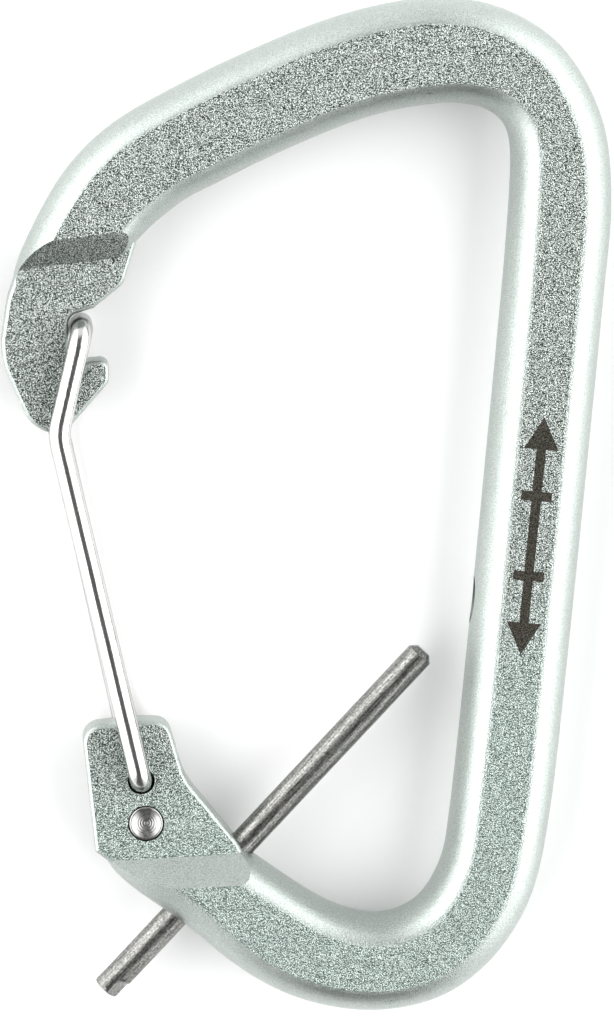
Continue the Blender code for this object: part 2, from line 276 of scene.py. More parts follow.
# Colours of the blasted grain from its pits to its peaks, as (height, colour): deep over most of the
# body, and milder towards the low end of the spine, with the way there and where the change runs
DEEP_GRAIN = (
    (0.0, (0.017, 0.023, 0.020)),
    (0.45, (0.172, 0.204, 0.186)),
    (1.0, (0.65, 0.69, 0.665)),
)
MILD_GRAIN = (
    (0.0, (0.072, 0.092, 0.083)),
    (0.45, (0.225, 0.280, 0.256)),
    (1.0, (0.57, 0.645, 0.614)),
)
MILD_GRAIN_WAY = (0.4, -1.0, 0.0)
MILD_GRAIN_START_AND_END = (0.014, 0.030)

# Drilled aluminium in the holes, coloured dark as painted shade: features per metre of its stains, the
# dark tints that paint the shade, and its relief
STAIN_SCALE = 1500
BORE_PAINTED_SHADE_TINTS = ((0.10, 0.11, 0.105), (0.22, 0.235, 0.225))
DRILLED_ROUGHNESS = (0.5, 0.7)
DRILLED_RELIEF = 0.00002

# Spring wire: painted shade on its sides, painted highlight on its front and back, and how upright a
# surface normal is where the sides start to brighten into the painted highlight and where they end
WIRE_PAINTED_SIDE_SHADE = (0.22, 0.22, 0.215)
WIRE_PAINTED_HIGHLIGHT_TINTS = ((0.60, 0.60, 0.59), (0.72, 0.72, 0.71))
WIRE_PAINTED_LIGHT_FADE = (0.10, 0.55)
WIRE_HAZE_SCALE = 900
WIRE_ROUGHNESS = (0.12, 0.24)

# Drawing lines of the wire: thin in X and Z and long in Y, then turned to run along its legs
DRAWING_LINE_SIZE = (0.00012, 0.004, 0.00012)
DRAWING_LINE_ANGLE = math.radians(12)
DRAWING_LINE_DEPTH = 0.000006

# Spun heads: features per metre of their haze, its tints and its relief
HEAD_HAZE_SCALE = 2200
HEAD_TINTS = ((0.26, 0.26, 0.25), (0.50, 0.50, 0.49))
HEAD_ROUGHNESS = (0.24, 0.36)
HEAD_RELIEF = 0.00001

# Turned pin: lengthwise rub marks, rings from turning and fine pits, and its colours by how rubbed
# and how little pitted it is
RUB_SIZE = (0.0035, 0.00016, 0.00016)
TURNING_SIZE = (0.00010, 0.0020, 0.0020)
TURNING_DEPTH = 0.000004
PIT_SCALE = 4200
PIT_DEPTH = 0.00002
PIN_ROUGHNESS = (0.26, 0.38)
PIN_COLOURS = (
    (0.36, (0.07, 0.07, 0.066)),
    (0.50, (0.20, 0.20, 0.19)),
    (0.66, (0.42, 0.42, 0.40)),
)

# Floor
FLOOR_HALF_SIZE = 3.0
FLOOR_COLOUR = (0.92, 0.92, 0.92)
FLOOR_ROUGHNESS = 0.3

# Brightness of the light tent by direction, and the part of the side light left at its low corners
SIDE_LIGHT = 3.60
TOP_END_LIGHT = 1.05
LOW_END_LIGHT = 0.05
OVERHEAD_LIGHT = 0.12
LOW_CORNER_PART = 0.30

# Where each light of the tent fades in, as parts of a unit vector that points at it
SIDE_FADE = (0.34, 0.50)
LOW_CORNER_FADE = (-0.75, -0.40)
TOP_END_FADE = (0.50, 0.85)
LOW_END_FADE = (-0.60, -0.95)

# The view: how far the camera leans towards the top bend and the gate, and the height it covers
CAMERA_LEAN = math.radians(8.0)
CAMERA_SIDE = math.radians(2.5)
VIEW_HEIGHT = 0.1058
LENS = 300.0
CLIP_END = 20.0


def link_object(name, data):
    """Put mesh or curve data into the scene as a named object."""
    new_object = bpy.data.objects.new(name, data)
    bpy.context.scene.collection.objects.link(new_object)
    return new_object


def mesh_from(name, bm):
    """Turn a bmesh into a mesh whose faces all point outwards."""
    bmesh.ops.recalc_face_normals(bm, faces=bm.faces)
    mesh = bpy.data.meshes.new(name)
    bm.to_mesh(mesh)
    bm.free()
    return mesh


def apply_modifiers(made_object):
    """Replace an object with a mesh that has its modifiers applied."""
    depsgraph = bpy.context.evaluated_depsgraph_get()
    mesh = bpy.data.meshes.new_from_object(made_object.evaluated_get(depsgraph))
    name = made_object.name
    bpy.data.objects.remove(made_object, do_unlink=True)
    return link_object(name, mesh)


def shade_smooth(made_object, sharp_angle):
    """Smooth shading, but sharp at edges that turn more than the angle in degrees."""
    mesh = made_object.data
    mesh.shade_smooth()
    mesh.set_sharp_from_angle(angle=math.radians(sharp_angle))


def lathe_mesh(name, profile):
    """A solid of revolution about Z from (radius, height) pairs that start and end on the axis."""
    bm = bmesh.new()
    rings = []
    for radius, height in profile:
        if radius == 0:
            rings.append([bm.verts.new((0, 0, height))])
            continue
        ring = []
        for step in range(ROUND_SEGMENTS):
            angle = 2 * math.pi * step / ROUND_SEGMENTS
            ring.append(bm.verts.new((radius * math.cos(angle), radius * math.sin(angle), height)))
        rings.append(ring)
    for ring, following in zip(rings, rings[1:]):
        for index in range(ROUND_SEGMENTS):
            after = (index + 1) % ROUND_SEGMENTS
            if len(ring) == 1:
                bm.faces.new((ring[0], following[index], following[after]))
            elif len(following) == 1:
                bm.faces.new((ring[index], ring[after], following[0]))
            else:
                bm.faces.new((ring[index], ring[after], following[after], following[index]))
    return mesh_from(name, bm)


# ---------------------------------------------------------------- forged body


def smooth_stations():
    """The bar stations as evenly spaced rows (outer x, outer y, inner x, inner y, flank)."""
    rows = [Vector((*outer, *inner)) for outer, inner, _ in BAR_STATIONS]
    flanks = [flank for _, _, flank in BAR_STATIONS]
    places = [0.0]
    for before, row in zip(rows, rows[1:]):
        places.append(places[-1] + (row - before).length / math.sqrt(2))
    last = len(rows) - 1
    slopes = []
    for index in range(last + 1):
        low = max(index - 1, 0)
        high = min(index + 1, last)
        slopes.append((rows[high] - rows[low]) / (places[high] - places[low]))
    samples = []
    for index in range(last):
        span = places[index + 1] - places[index]
        steps = max(2, round(span / RING_SPACING))
        for step in range(steps):
            t = step / steps
            row = (
                rows[index] * (2 * t ** 3 - 3 * t ** 2 + 1)
                + slopes[index] * span * (t ** 3 - 2 * t ** 2 + t)
                + rows[index + 1] * (3 * t ** 2 - 2 * t ** 3)
                + slopes[index + 1] * span * (t ** 3 - t ** 2)
            )
            samples.append((row, flanks[index] + (flanks[index + 1] - flanks[index]) * t))
    samples.append((rows[last], flanks[last]))
    return samples


def relax(samples):
    """Even out small wobbles along the row of samples."""
    for _ in range(SMOOTHING_PASSES):
        middle = [
            ((back[0] + here[0] * 2 + ahead[0]) / 4, (back[1] + here[1] * 2 + ahead[1]) / 4)
            for back, here, ahead in zip(samples, samples[1:], samples[2:])
        ]
        samples = [samples[0], *middle, samples[-1]]
    return samples


def bar_section(width, flank):
    """Points round the bar's section, as distance from the outer edge and height from mid plane."""
    start = FLANK_START_ANGLE
    quarter = []
    for step in range(FLANK_STEPS + 1):
        angle = start + (math.pi / 2 - start) * step / FLANK_STEPS
        reach = (math.sin(angle) - math.sin(start)) / (1 - math.sin(start))
        height = math.cos(angle) / math.cos(start) * BODY_HALF
        quarter.append((flank * (1 - reach), height))
    top = quarter[::-1] + [(width - across, height) for across, height in quarter]
    bottom = [(across, -height) for across, height in top[-2:0:-1]]
    return top + bottom


def bar_mesh():
    """The bent bar with a flat middle and rounded flanks, as rings joined along its length."""
    bm = bmesh.new()
    loops = []
    for row, flank in relax(smooth_stations()):
        outer = Vector((row[0], row[1], MID_Z))
        inner = Vector((row[2], row[3], MID_Z))
        width = (inner - outer).length
        across_way = (inner - outer) / width
        loops.append([
            bm.verts.new(outer + across_way * across + Vector((0, 0, height)))
            for across, height in bar_section(width, flank)
        ])
    for ring, following in zip(loops, loops[1:]):
        for index in range(len(ring)):
            after = (index + 1) % len(ring)
            bm.faces.new((ring[index], ring[after], following[after], following[index]))
    bm.faces.new(loops[0])
    bm.faces.new(loops[-1])
    return mesh_from("bar", bm)


def rounded_outline(corners):
    """Outline points for corners with radii: each corner becomes an arc that touches both sides."""
    points = []
    for index, (corner, radius) in enumerate(corners):
        here = Vector(corner)
        if radius == 0:
            points.append(here)
            continue
        back = (Vector(corners[index - 1][0]) - here).normalized()
        ahead = (Vector(corners[(index + 1) % len(corners)][0]) - here).normalized()
        half_corner = back.angle(ahead) / 2
        centre = here + (back + ahead).normalized() * radius / math.sin(half_corner)
        first = here + back * radius / math.tan(half_corner) - centre
        last = here + ahead * radius / math.tan(half_corner) - centre
        turn = first.angle_signed(last)
        steps = max(2, math.ceil(abs(turn) / ARC_STEP_ANGLE))
        for step in range(steps + 1):
            points.append(centre + Matrix.Rotation(-turn * step / steps, 2) @ first)
    return points


def inset(corners, depth):
    """Counterclockwise corners moved inwards by a depth, with their radii adjusted to match."""
    moved = []
    for index, (corner, radius) in enumerate(corners):
        here = Vector(corner)
        back = (Vector(corners[index - 1][0]) - here).normalized()
        ahead = (Vector(corners[(index + 1) % len(corners)][0]) - here).normalized()
        side = math.copysign(1, ahead.cross(back))
        way = (back + ahead).normalized() * depth / math.sin(back.angle(ahead) / 2)
        moved.append((here + way * side, radius - depth * side if radius else 0))
    return moved


def add_plate(name, corners, material):
    """A flat plate with the given outline and a rounded rim, centred on the mid plane."""
    levels = []
    for step in range(RIM_STEPS + 1):
        angle = math.pi / 2 * step / RIM_STEPS
        levels.append((1 - math.cos(angle), PLATE_HALF - PLATE_RIM_ROUND * (1 - math.sin(angle))))
    levels = [(part, -height) for part, height in reversed(levels)] + levels
    bm = bmesh.new()
    rings = []
    for part, height in levels:
        outline = rounded_outline(inset(corners, PLATE_RIM_ROUND * part))
        rings.append([bm.verts.new((*point, MID_Z + height)) for point in outline])
    for ring, following in zip(rings, rings[1:]):
        for index in range(len(ring)):
            after = (index + 1) % len(ring)
            bm.faces.new((ring[index], ring[after], following[after], following[index]))
    bm.faces.new(rings[0])
    bm.faces.new(rings[-1])
    plate = link_object(name, mesh_from(name, bm))
    plate.data.materials.append(material)
    return plate


def add_ramp_cutter(name, point, heading, side, material):
    """A block that takes one face of the bar down along a ramp, to just under the plate's face."""
    clear = BODY_HALF + CUTTER_CLEARANCE
    slope = RAMP_RUN / (BODY_HALF - PLATE_HALF)
    floor = PLATE_HALF - CUTTER_OVERLAP
    profile = (
        ((BODY_HALF - clear) * slope, clear),
        ((BODY_HALF - floor) * slope, floor),
        (CUTTER_LENGTH, floor),
        (CUTTER_LENGTH, clear),
    )
    forward = Vector((*heading, 0)).normalized()
    sideways = Vector((-forward.y, forward.x, 0))
    bm = bmesh.new()
    rings = []
    for shift in (-CUTTER_LENGTH / 2, CUTTER_LENGTH / 2):
        ring = []
        for run, height in profile:
            place = Vector((*point, 0)) + sideways * shift + forward * run
            place.z = MID_Z + side * height
            ring.append(bm.verts.new(place))
        rings.append(ring)
    for index in range(4):
        after = (index + 1) % 4
        bm.faces.new((rings[0][index], rings[0][after], rings[1][after], rings[1][index]))
    bm.faces.new(rings[0])
    bm.faces.new(rings[1])
    cutter = link_object(name, mesh_from(name, bm))
    cutter.data.materials.append(material)
    return cutter


def add_drill(name, start, end, radius, material):
    """A cylinder between two points, to cut a hole with."""
    bm = bmesh.new()
    bmesh.ops.create_cone(
        bm,
        cap_ends=True,
        segments=ROUND_SEGMENTS,
        radius1=radius,
        radius2=radius,
        depth=(end - start).length,
    )
    drill = link_object(name, mesh_from(name, bm))
    drill.location = (start + end) / 2
    drill.rotation_euler = (end - start).to_track_quat("Z", "Y").to_euler()
    drill.data.materials.append(material)
    return drill


def pin_axis_point(distance):
    """The point at a distance along the captive pin's axis from the middle of its bore."""
    return BORE_CENTRE + PIN_DIRECTION * distance


def body_tools(forged, bore_shade):
    """Every plate and cutter that shapes the bar, each with its Boolean operation."""
    tools = []
    for side in (1, -1):
        tools.append((add_ramp_cutter("nose_cutter", *NOSE_RAMP, side, forged), "DIFFERENCE"))
        tools.append((add_ramp_cutter("tab_cutter", *TAB_RAMP, side, forged), "DIFFERENCE"))
    tools.append((add_plate("nose_plate", NOSE_CORNERS, forged), "UNION"))
    tools.append((add_plate("tab_plate", TAB_CORNERS, forged), "UNION"))
    up = Vector((0, 0, 1))
    for pivot, head_side in ((FRONT_PIVOT, -1), (REAR_PIVOT, 1)):
        low, high = pivot - up * BODY_HALF, pivot + up * BODY_HALF
        floor = pivot + up * head_side * (PLATE_HALF - HEAD_DEPTH)
        face = pivot + up * head_side * BODY_HALF
        # Each drill carries the material with painted shade onto the walls of its hole
        tools.append((add_drill("pivot_hole", low, high, PIVOT_HOLE_RADIUS, bore_shade), "DIFFERENCE"))
        tools.append((add_drill("head_seat", floor, face, HEAD_SEAT_RADIUS, bore_shade), "DIFFERENCE"))
    for start, end in ((-BORE_REACH, BORE_REACH), SPINE_HOLE):
        low, high = pin_axis_point(start), pin_axis_point(end)
        tools.append((add_drill("pin_drill", low, high, BORE_RADIUS, bore_shade), "DIFFERENCE"))
    return tools


def mark_blasted_faces(mesh):
    """Store how strongly each corner is blasted: fully on flats and nose ramps, fading over flanks."""
    drop = BODY_HALF - PLATE_HALF
    ramp_length = math.hypot(RAMP_RUN, drop)
    heading = Vector((*NOSE_RAMP[1], 0)).normalized()
    ramp_way = Vector((heading.x * drop, heading.y * drop, RAMP_RUN)) / ramp_length
    blasted = mesh.attributes.new("blasted", "FLOAT", "CORNER")
    for face in mesh.polygons:
        mirrored = Vector((face.normal.x, face.normal.y, abs(face.normal.z)))
        on_ramp = mirrored.dot(ramp_way) > RAMP_MATCH
        for corner in face.loop_indices:
            upright = abs(mesh.corner_normals[corner].vector.z)
            fade = min(max((upright - BLAST_END) / (BLAST_FULL - BLAST_END), 0.0), 1.0)
            blasted.data[corner].value = 1.0 if on_ramp else fade


def build_body(forged, bore_shade):
    """The forged body: bent bar, nose plate, hinge tab, ramps, pin bore and pivot holes."""
    body = link_object("carabiner_forging", bar_mesh())
    body.data.materials.append(forged)
    body.data.materials.append(bore_shade)
    tools = body_tools(forged, bore_shade)
    for tool, operation in tools:
        modifier = body.modifiers.new(tool.name, "BOOLEAN")
        modifier.operation = operation
        modifier.object = tool
        modifier.material_mode = "TRANSFER"
    body = apply_modifiers(body)
    for tool, _ in tools:
        bpy.data.objects.remove(tool, do_unlink=True)
    shade_smooth(body, BODY_SHARP_ANGLE)
    mark_blasted_faces(body.data)
    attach(body, "carabiner_body")
    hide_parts("forged_body")


# ---------------------------------------------------------------- wire gate


def bend(before, corner, after, radius):
    """Points round a bend of the given radius that replaces the corner of a path."""
    back = (before - corner).normalized()
    ahead = (after - corner).normalized()
    half_corner = back.angle(ahead) / 2
    centre = corner + (back + ahead).normalized() * radius / math.sin(half_corner)
    first = corner + back * radius / math.tan(half_corner) - centre
    axis = back.cross(ahead)
    turn = math.pi - 2 * half_corner
    steps = max(3, math.ceil(turn / ARC_STEP_ANGLE))
    return [
        centre + Matrix.Rotation(-turn * step / steps, 3, axis) @ first
        for step in range(steps + 1)
    ]


def add_round_bar(name, points, radii, material):
    """A smooth round bar along the points, with a radius at every point."""
    curve = bpy.data.curves.new(name, "CURVE")
    curve.dimensions = "3D"
    curve.bevel_depth = 1.0
    curve.bevel_resolution = WIRE_ROUNDNESS
    curve.use_fill_caps = True
    spline = curve.splines.new("POLY")
    spline.points.add(len(points) - 1)
    for spot, point, radius in zip(spline.points, points, radii):
        spot.co = (*point, 1.0)
        spot.radius = radius
    bar = apply_modifiers(link_object(name, curve))
    bm = bmesh.new()
    bm.from_mesh(bar.data)
    bmesh.ops.remove_doubles(bm, verts=bm.verts, dist=WELD_DISTANCE)
    bm.to_mesh(bar.data)
    bm.free()
    shade_smooth(bar, WIRE_SHARP_ANGLE)
    bar.data.materials.clear()
    bar.data.materials.append(material)
    return bar


def leg_points(pivot, leg_side):
    """Shank end, foot, knee and top corner of one gate leg."""
    leg_z = MID_Z + leg_side * WIRE_LEG_HEIGHT
    shank_z = MID_Z - leg_side * (PLATE_HALF - HEAD_DEPTH * (1 - SHANK_REACH))
    shank = Vector((pivot.x, pivot.y, shank_z))
    foot = Vector((pivot.x, pivot.y, leg_z))
    return shank, foot, Vector((*KNEE, leg_z)), Vector((*CROSSBAR, leg_z))


def build_front_leg(material):
    """The gate wire's front leg, crossbar and far bend, which turn about the front pivot."""
    shank, foot, knee, top = leg_points(FRONT_PIVOT, 1)
    _, _, far_knee, far_top = leg_points(REAR_PIVOT, -1)
    down_rear_leg = (far_knee - far_top).normalized()
    path = [shank, *bend(shank, foot, knee, FOOT_BEND_RADIUS)]
    path += bend(foot, knee, top, KNEE_BEND_RADIUS)
    path += bend(knee, top, far_top, TOP_BEND_RADIUS)
    path += bend(top, far_top, far_knee, TOP_BEND_RADIUS)
    path.append(far_top + down_rear_leg * SEAM_OVERLAP)
    wire = add_round_bar("gate_wire_leg_and_crossbar", path, [WIRE_RADIUS] * len(path), material)
    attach(wire, "gate_front_leg")
    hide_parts("gate_wire_front")


def build_rear_leg(material):
    """The gate wire's rear leg; its hidden end tapers inside the crossbar's far bend."""
    shank, foot, knee, top = leg_points(REAR_PIVOT, -1)
    down = (knee - top).normalized()
    path = [shank, *bend(shank, foot, knee, FOOT_BEND_RADIUS)]
    path += bend(foot, knee, top, KNEE_BEND_RADIUS)
    radii = [WIRE_RADIUS * REAR_END_TAPER[-1][1]] * len(path)
    for distance, part in reversed(REAR_END_TAPER):
        path.append(top + down * distance)
        radii.append(WIRE_RADIUS * part)
    wire = add_round_bar("gate_wire_rear_leg", path, radii, material)
    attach(wire, "gate_rear_leg")
    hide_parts("gate_wire_rear")


def head_profile():
    """A spun head: dished face with fine spin rings, rounded lip and straight side."""
    profile = []
    for step in range(DISH_STEPS + 1):
        radius = DISH_RADIUS * step / DISH_STEPS
        bowl = -DISH_DEPTH * (1 - (radius / DISH_RADIUS) ** 2)
        ring = SPIN_RING_HEIGHT * math.cos(2 * math.pi * radius / SPIN_RING_PITCH)
        profile.append((radius, bowl + ring * (1 - step / DISH_STEPS)))
    lip = HEAD_RADIUS - DISH_RADIUS
    for step in range(1, HEAD_LIP_STEPS + 1):
        angle = math.pi / 2 * step / HEAD_LIP_STEPS
        profile.append((DISH_RADIUS + lip * math.sin(angle), -HEAD_LIP * (1 - math.cos(angle))))
    profile.append((HEAD_RADIUS, HEAD_FLOOR_GAP - HEAD_DEPTH))
    profile.append((0.0, HEAD_FLOOR_GAP - HEAD_DEPTH))
    return profile


def build_head(name, pivot, side, body, material):
    """The spun round head at the end of one gate leg, flush in its seat."""
    head = link_object(name, lathe_mesh(name, head_profile()))
    turn = Matrix.Identity(4) if side > 0 else Matrix.Rotation(math.pi, 4, "X")
    face = Vector((pivot.x, pivot.y, MID_Z + side * PLATE_HALF))
    head.data.transform(Matrix.Translation(face) @ turn)
    shade_smooth(head, HEAD_SHARP_ANGLE)
    head.data.materials.append(material)
    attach(head, body)


# ---------------------------------------------------------------- captive pin


def pin_profile():
    """The pin from its staked back end to its chamfered tip, as (radius, distance) pairs."""
    back = PIN_BACK_END
    flare = PIN_RADIUS + STAKE_FLARE
    profile = [
        (0.0, back),
        (flare - END_FACE_INSET, back),
        (flare - END_EDGE_INSET, back + END_EDGE_LENGTH),
    ]
    for step in range(STAKE_STEPS + 1):
        part = step / STAKE_STEPS
        fade = 0.5 + 0.5 * math.cos(math.pi * part)
        place = back + END_ROUND_LENGTH + STAKE_LENGTH * part
        profile.append((PIN_RADIUS + STAKE_FLARE * fade, place))
    shank_start = back + END_ROUND_LENGTH + STAKE_LENGTH
    shank_end = PIN_TIP - PIN_CHAMFER
    for step in range(1, PIN_SHANK_STEPS + 1):
        place = shank_start + (shank_end - shank_start) * step / PIN_SHANK_STEPS
        profile.append((PIN_RADIUS, place))
    profile += [(PIN_RADIUS - PIN_CHAMFER, PIN_TIP), (0.0, PIN_TIP)]
    return profile


def stake_flat(mesh, facing):
    """Press one flat into the back end of the pin, on the side that the unit vector faces."""
    for vertex in mesh.vertices:
        beyond = vertex.co.dot(facing) - STAKE_FLAT_HEIGHT
        along = vertex.co.z - PIN_BACK_END
        if along < STAKE_LENGTH and beyond > 0:
            depth = min(1.0, (STAKE_LENGTH - along) / (STAKE_LENGTH * STAKE_RUN_OUT))
            vertex.co -= facing * beyond * depth


def build_pin(material):
    """The captive cross pin, through the bore and half driven in."""
    mesh = lathe_mesh("cross_pin", pin_profile())
    to_world = PIN_DIRECTION.to_track_quat("Z", "Y").to_matrix()
    up = to_world.inverted() @ Vector((0, 0, 1))
    away_from_nose = to_world.inverted() @ Vector((PIN_DIRECTION.y, -PIN_DIRECTION.x, 0))
    for facing in (up * STAKE_LEAN[0] + away_from_nose * STAKE_LEAN[1], -up):
        stake_flat(mesh, facing.normalized())
    pin = link_object("turned_cross_pin", mesh)
    pin.data.transform(Matrix.Translation(BORE_CENTRE) @ to_world.to_4x4())
    shade_smooth(pin, PIN_SHARP_ANGLE)
    pin.data.materials.append(material)
    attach(pin, "cross_pin")
    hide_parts("captive_pin")


# ---------------------------------------------------------------- materials


class Shader:
    """A short way to add nodes to one metal material."""

    def __init__(self, name):
        self.material = bpy.data.materials.new(name)
        self.material.use_nodes = True
        self.tree = self.material.node_tree
        self.surface = self.tree.nodes["Principled BSDF"]
        self.place = self.tree.nodes.new("ShaderNodeTexCoord").outputs["Object"]
        shifted = self.tree.nodes.new("ShaderNodeVectorMath")
        shifted.inputs[1].default_value = NOISE_SHIFT
        self.tree.links.new(self.place, shifted.inputs[0])
        self.noise_place = shifted.outputs[0]

    def link(self, source, target):
        """Connect an output, or set a plain value."""
        if isinstance(source, bpy.types.NodeSocket):
            self.tree.links.new(source, target)
        else:
            target.default_value = source

    def noise(self, scale, detail=2.0, roughness=0.5, stretch=None, angle=0.0):
        """Noise of about the given features per metre, stretched and turned about Z if asked."""
        place = self.noise_place
        if stretch:
            mapping = self.tree.nodes.new("ShaderNodeMapping")
            mapping.vector_type = "TEXTURE"
            mapping.inputs["Rotation"].default_value = (0, 0, angle)
            mapping.inputs["Scale"].default_value = stretch
            self.tree.links.new(place, mapping.inputs["Vector"])
            place = mapping.outputs["Vector"]
        node = self.tree.nodes.new("ShaderNodeTexNoise")
        node.inputs["Scale"].default_value = scale
        node.inputs["Detail"].default_value = detail
        node.inputs["Roughness"].default_value = roughness
        self.tree.links.new(place, node.inputs["Vector"])
        return node.outputs["Fac"]

    def axes(self, vector):
        """The X, Y and Z of a vector output, by letter."""
        node = self.tree.nodes.new("ShaderNodeSeparateXYZ")
        self.tree.links.new(vector, node.inputs[0])
        return node.outputs

    def math(self, operation, first, second=0.0):
        """A math node."""
        node = self.tree.nodes.new("ShaderNodeMath")
        node.operation = operation
        for source, target in zip((first, second), node.inputs):
            self.link(source, target)
        return node.outputs[0]

    def spread(self, value, low, high, to_low=0.0, to_high=1.0):
        """Map a value from one range to another, and keep it inside."""
        node = self.tree.nodes.new("ShaderNodeMapRange")
        for source, target in zip((value, low, high, to_low, to_high), node.inputs):
            self.link(source, target)
        return node.outputs[0]

    def blend(self, factor, first, second):
        """Mix two colours."""
        node = self.tree.nodes.new("ShaderNodeMix")
        node.data_type = "RGBA"
        self.link(factor, node.inputs[0])
        for source, target in ((first, node.inputs[6]), (second, node.inputs[7])):
            self.link((*source, 1.0) if isinstance(source, tuple) else source, target)
        return node.outputs[2]

    def ramp(self, value, *stops):
        """A colour ramp from (position, colour) stops."""
        node = self.tree.nodes.new("ShaderNodeValToRGB")
        elements = node.color_ramp.elements
        while len(elements) < len(stops):
            elements.new(0.5)
        for element, (position, colour) in zip(elements, stops):
            element.position = position
            element.color = (*colour, 1.0)
        self.tree.links.new(value, node.inputs["Fac"])
        return node.outputs["Color"]

    def bump(self, height, distance, strength=1.0, normal=None):
        """A bump from a height, with its full depth in metres, on top of another normal if given."""
        node = self.tree.nodes.new("ShaderNodeBump")
        node.inputs["Distance"].default_value = distance
        self.link(strength, node.inputs["Strength"])
        self.tree.links.new(height, node.inputs["Height"])
        if normal:
            self.tree.links.new(normal, node.inputs["Normal"])
        return node.outputs["Normal"]

    def finish(self, colour, roughness, normal):
        """Fill the metal surface in and return the material."""
        self.surface.inputs["Metallic"].default_value = 1.0
        self.link(colour, self.surface.inputs["Base Color"])
        self.link(roughness, self.surface.inputs["Roughness"])
        self.link(normal, self.surface.inputs["Normal"])
        return self.material


def etched_mark(shader):
    """1 inside the etched arrow on the front of the spine, 0 elsewhere."""
    mapping = shader.tree.nodes.new("ShaderNodeMapping")
    mapping.vector_type = "TEXTURE"
    mapping.inputs["Location"].default_value = (*MARK_CENTRE, 0)
    mapping.inputs["Rotation"].default_value = (0, 0, MARK_ANGLE)
    shader.tree.links.new(shader.place, mapping.inputs["Vector"])
    axes = shader.axes(mapping.outputs["Vector"])
    across = shader.math("ABSOLUTE", axes["X"])
    along = shader.math("ABSOLUTE", axes["Y"])
    to_tip = shader.math("SUBTRACT", MARK_HALF_LENGTH, along)
    head_edge = shader.math("MULTIPLY", to_tip, MARK_HEAD_HALF_WIDTH / MARK_HEAD_LENGTH)
    head = shader.math(
        "MULTIPLY",
        shader.math("LESS_THAN", across, head_edge),
        shader.math("LESS_THAN", to_tip, MARK_HEAD_LENGTH),
    )
    shaft = shader.math(
        "MULTIPLY",
        shader.math("LESS_THAN", across, MARK_SHAFT_HALF_WIDTH),
        shader.math("GREATER_THAN", to_tip, MARK_HEAD_LENGTH * MARK_SHAFT_START),
    )
    from_bar = shader.math("ABSOLUTE", shader.math("SUBTRACT", along, MARK_BAR_PLACE))
    bar = shader.math(
        "MULTIPLY",
        shader.math("LESS_THAN", across, MARK_BAR_HALF[0]),
        shader.math("LESS_THAN", from_bar, MARK_BAR_HALF[1]),
    )
    shape = shader.math("MAXIMUM", head, shader.math("MAXIMUM", shaft, bar))
    front = shader.math("GREATER_THAN", axes["Z"], MID_Z)
    return shader.math("MULTIPLY", shape, front)


def forged_material():
    """Forged aluminium: strong blasted grain on the flats that fades out over the smoother flanks."""
    shader = Shader("blasted_and_tumbled_aluminium")
    marked = shader.tree.nodes.new("ShaderNodeAttribute")
    marked.attribute_name = "blasted"
    blasted = marked.outputs["Fac"]
    grain = shader.noise(GRAIN_SCALE, detail=0.5, roughness=0.6)
    fine = shader.noise(FINE_GRAIN_SCALE, detail=0.0)
    cloud = shader.noise(CLOUD_SCALE, detail=3)
    tint = shader.blend(cloud, *FLANK_TINTS)
    speckle = shader.math("ADD", grain, shader.math("MULTIPLY", fine, FINE_GRAIN_TINT))
    speckle = shader.spread(speckle, *GRAIN_SPREAD)
    flank_colour = shader.blend(shader.spread(speckle, *FLANK_PIT_FADE), FLANK_PIT_COLOUR, tint)
    along = shader.tree.nodes.new("ShaderNodeVectorMath")
    along.operation = "DOT_PRODUCT"
    along.inputs[1].default_value = MILD_GRAIN_WAY
    shader.tree.links.new(shader.place, along.inputs[0])
    low_end = shader.spread(along.outputs["Value"], *MILD_GRAIN_START_AND_END)
    grain_colour = shader.blend(
        low_end, shader.ramp(speckle, *DEEP_GRAIN), shader.ramp(speckle, *MILD_GRAIN)
    )
    colour = shader.blend(blasted, flank_colour, grain_colour)
    mark = etched_mark(shader)
    colour = shader.blend(mark, colour, shader.ramp(grain, *MARK_COLOURS))
    rough = shader.spread(cloud, *NOISE_RANGE, *FORGED_ROUGHNESS)
    rough = shader.math("ADD", rough, shader.math("MULTIPLY", mark, MARK_EXTRA_ROUGHNESS))
    flank_bump = shader.bump(grain, FLANK_GRAIN_DEPTH)
    height = shader.math("ADD", grain, shader.math("MULTIPLY", fine, FINE_GRAIN_RELIEF))
    normal = shader.bump(height, FLAT_GRAIN_DEPTH, blasted, flank_bump)
    return shader.finish(colour, rough, normal)


def bore_shade_material():
    """Drilled aluminium inside the holes: dull and a little stained, and darker as painted shade."""
    shader = Shader("bore_painted_shade")
    stain = shader.noise(STAIN_SCALE, detail=3)
    # Painted shade: the hole walls get dark tints in place of the shade that falls inside the holes
    colour = shader.blend(stain, *BORE_PAINTED_SHADE_TINTS)
    rough = shader.spread(stain, *NOISE_RANGE, *DRILLED_ROUGHNESS)
    normal = shader.bump(stain, DRILLED_RELIEF)
    return shader.finish(colour, rough, normal)


